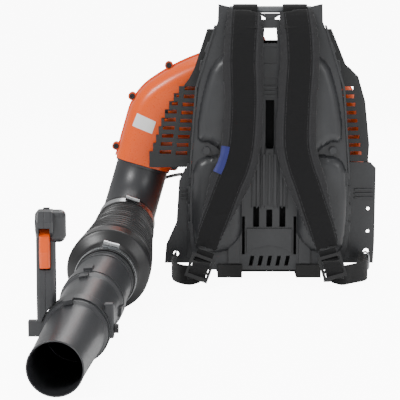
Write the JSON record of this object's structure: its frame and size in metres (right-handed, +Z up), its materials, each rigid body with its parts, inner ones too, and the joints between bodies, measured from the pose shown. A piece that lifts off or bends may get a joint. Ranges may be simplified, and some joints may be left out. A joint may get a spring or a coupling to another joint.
{
  "type": "backpack leaf blower",
  "caption": "Backpack leaf blower standing on its base: harness plate with padded straps, orange spiral fan case, bellows hose, blower tube with control handle, and engine.",
  "frame": {"origin": "on the floor under the fan, at the fan's middle plane: the underside of the base tray", "axes": "+X to the right for someone facing the harness side, +Y from the harness towards the engine, +Z up; the blower tube lies along -Y"},
  "size_m": [0.588, 1.2245, 0.5182],
  "materials": {
    "grey_shell": "satin moulded nylon",
    "dark_shell": "satin moulded nylon",
    "orange_shell": "semi-gloss moulded nylon",
    "air_pipe": "satin blow-moulded plastic",
    "bellows_rubber": "matt",
    "black_rubber": "matt",
    "bar_plastic": "satin",
    "strap_fabric": "woven cover over foam",
    "webbing": "woven polypropylene",
    "black_plastic": "satin",
    "bright_steel": "zinc plated",
    "dark_steel": "blackened",
    "cast_metal": "as cast",
    "machined_steel": "machined",
    "white_ceramic": "glazed",
    "tank_plastic": "translucent white",
    "trigger_red": "semi-gloss",
    "filter_foam": "pleated",
    "bulb_rubber": "translucent"
  },
  "bodies": {
    "blower": {"back_plate": "grey_shell", "carry_bar": "bar_plastic", "rubber_feet": "black_rubber", "base_frame": "dark_shell", "side_bracket_left": "grey_shell", "side_bracket_right": "grey_shell", "intake_grille_left": "dark_shell", "intake_grille_right": "dark_shell", "fan_case_front": "orange_shell", "fan_case_rear": "orange_shell", "case_screws": "dark_steel", "crankcase": "cast_metal", "cylinder": "cast_metal", "spark_plug": "white_ceramic", "plug_cap": "black_rubber", "ignition_coil": "black_plastic", "muffler": "dark_steel", "muffler_guard": "dark_shell", "intake_boot": "black_rubber", "carburettor": "cast_metal", "filter_element": "filter_foam", "filter_cover": "dark_shell", "starter_housing": "dark_shell", "starter_rope": "webbing", "fuel_tank": "tank_plastic", "engine_cover": "orange_shell", "rubber_mounts": "black_rubber", "shoulder_strap_left": "strap_fabric", "shoulder_strap_right": "strap_fabric", "strap_buckles": "black_plastic", "strap_webbing": "webbing", "throttle_cable_rear": "black_rubber"},
    "elbow": {"elbow_pipe": "air_pipe", "hose_clamp_upper": "bright_steel", "bellows_hose": "bellows_rubber", "throttle_cable_front": "black_rubber"},
    "tube": {"control_tube": "air_pipe", "hose_clamp_lower": "bright_steel", "front_tube": "air_pipe"},
    "nozzle": {"nozzle": "air_pipe"},
    "handle": {"handle_clamp": "black_plastic", "handle_shell_left": "air_pipe", "handle_shell_right": "air_pipe"},
    "knob": {"clamp_knob": "black_plastic"},
    "trigger": {"throttle_trigger": "black_plastic"},
    "cruise": {"cruise_lever": "black_plastic"},
    "switch": {"stop_switch": "trigger_red"},
    "crank": {"crankshaft": "machined_steel", "flywheel": "cast_metal", "impeller": "black_plastic"},
    "piston": {"piston": "cast_metal", "connecting_rod": "machined_steel", "rod_pins": "machined_steel"},
    "pulley": {"starter_pulley": "black_plastic"},
    "grip": {"starter_grip": "black_plastic"},
    "fuel_cap": {"fuel_cap": "black_plastic"},
    "primer": {"primer_bulb": "bulb_rubber"},
    "choke": {"choke_lever": "black_plastic"},
    "filter_knob": {"filter_knob": "black_plastic"},
    "ring": {"belt_ring": "bright_steel"}
  },
  "joints": [
    {"name": "elbow_swivel", "type": "hinge", "parent": "blower", "child": "elbow", "pos_m": [-0.24308, 0, 0.20638], "axis": [-0.2756, 0, -0.9613], "range_deg": [-10, 45], "deforming": ["throttle_cable_rear"]},
    {"name": "tube_pitch", "type": "hinge", "parent": "elbow", "child": "tube", "pos_m": [-0.277, -0.27, 0.075], "axis": [-1, 0, 0], "range_deg": [0, 40], "deforming": ["bellows_hose", "throttle_cable_front"]},
    {"name": "nozzle_twist", "type": "hinge", "parent": "tube", "child": "nozzle", "pos_m": [-0.31465, -0.83866, 0.04797], "axis": [-0.0704, -0.9962, -0.0515], "range_deg": [-20, 0]},
    {"name": "handle_turn", "type": "hinge", "parent": "tube", "child": "handle", "pos_m": [-0.31121, -0.79, 0.05049], "axis": [-0.0704, -0.9962, -0.0515], "range_deg": [-10, 10], "deforming": ["throttle_cable_front"]},
    {"name": "knob_turn", "type": "hinge", "parent": "handle", "child": "knob", "pos_m": [-0.25521, -0.79, 0.05149], "axis": [1, 0, 0], "range_deg": [0, 360]},
    {"name": "trigger_pull", "type": "hinge", "parent": "handle", "child": "trigger", "pos_m": [-0.355, -0.798, 0.196], "axis": [1, 0, 0], "range_deg": [0, 12], "stiffness_Nm_per_rad": 1, "springref_deg": -17.19},
    {"name": "cruise_turn", "type": "hinge", "parent": "handle", "child": "cruise", "pos_m": [-0.355, -0.774, 0.182], "axis": [-1, 0, 0], "range_deg": [0, 20]},
    {"name": "switch_press", "type": "slide", "parent": "handle", "child": "switch", "axis": [0, 0, -1], "range_m": [0, 0.003], "stiffness_N_per_m": 400, "springref_m": -0.002},
    {"name": "crank_spin", "type": "hinge", "parent": "blower", "child": "crank", "pos_m": [0, 0, 0.24], "axis": [0, 1, 0], "continuous": true},
    {"name": "piston_slide", "type": "slide", "parent": "blower", "child": "piston", "axis": [0, 0, 1], "range_m": [-0.036, 0]},
    {"name": "starter_pull", "type": "slide", "parent": "blower", "child": "grip", "axis": [1, 0, 0], "range_m": [0, 0.4], "stiffness_N_per_m": 20, "springref_m": -0.2, "deforming": ["starter_rope"]},
    {"name": "pulley_spin", "type": "hinge", "parent": "blower", "child": "pulley", "pos_m": [0, 0.14, 0.24], "axis": [0, 1, 0], "range_deg": [0, 820]},
    {"name": "fuel_cap_turn", "type": "hinge", "parent": "blower", "child": "fuel_cap", "pos_m": [-0.078, 0.186, 0.14], "axis": [0, 0, 1], "range_deg": [0, 360]},
    {"name": "primer_press", "type": "slide", "parent": "blower", "child": "primer", "axis": [0, -1, 0], "range_m": [0, 0.004], "stiffness_N_per_m": 300, "springref_m": -0.002},
    {"name": "choke_turn", "type": "hinge", "parent": "blower", "child": "choke", "pos_m": [-0.094, 0.0855, 0.304], "axis": [0, -1, 0], "range_deg": [0, 60]},
    {"name": "filter_knob_turn", "type": "hinge", "parent": "blower", "child": "filter_knob", "pos_m": [-0.15, 0.1055, 0.338], "axis": [-1, 0, 0], "range_deg": [0, 360]},
    {"name": "ring_swing", "type": "hinge", "parent": "blower", "child": "ring", "pos_m": [0.189, -0.0765, 0.043], "axis": [0, 1, 0], "range_deg": [-30, 5]}
  ],
  "couplings": [
    {"joint": "pulley_spin", "follows": "starter_pull", "rad_per_m": 35.7}
  ]
}
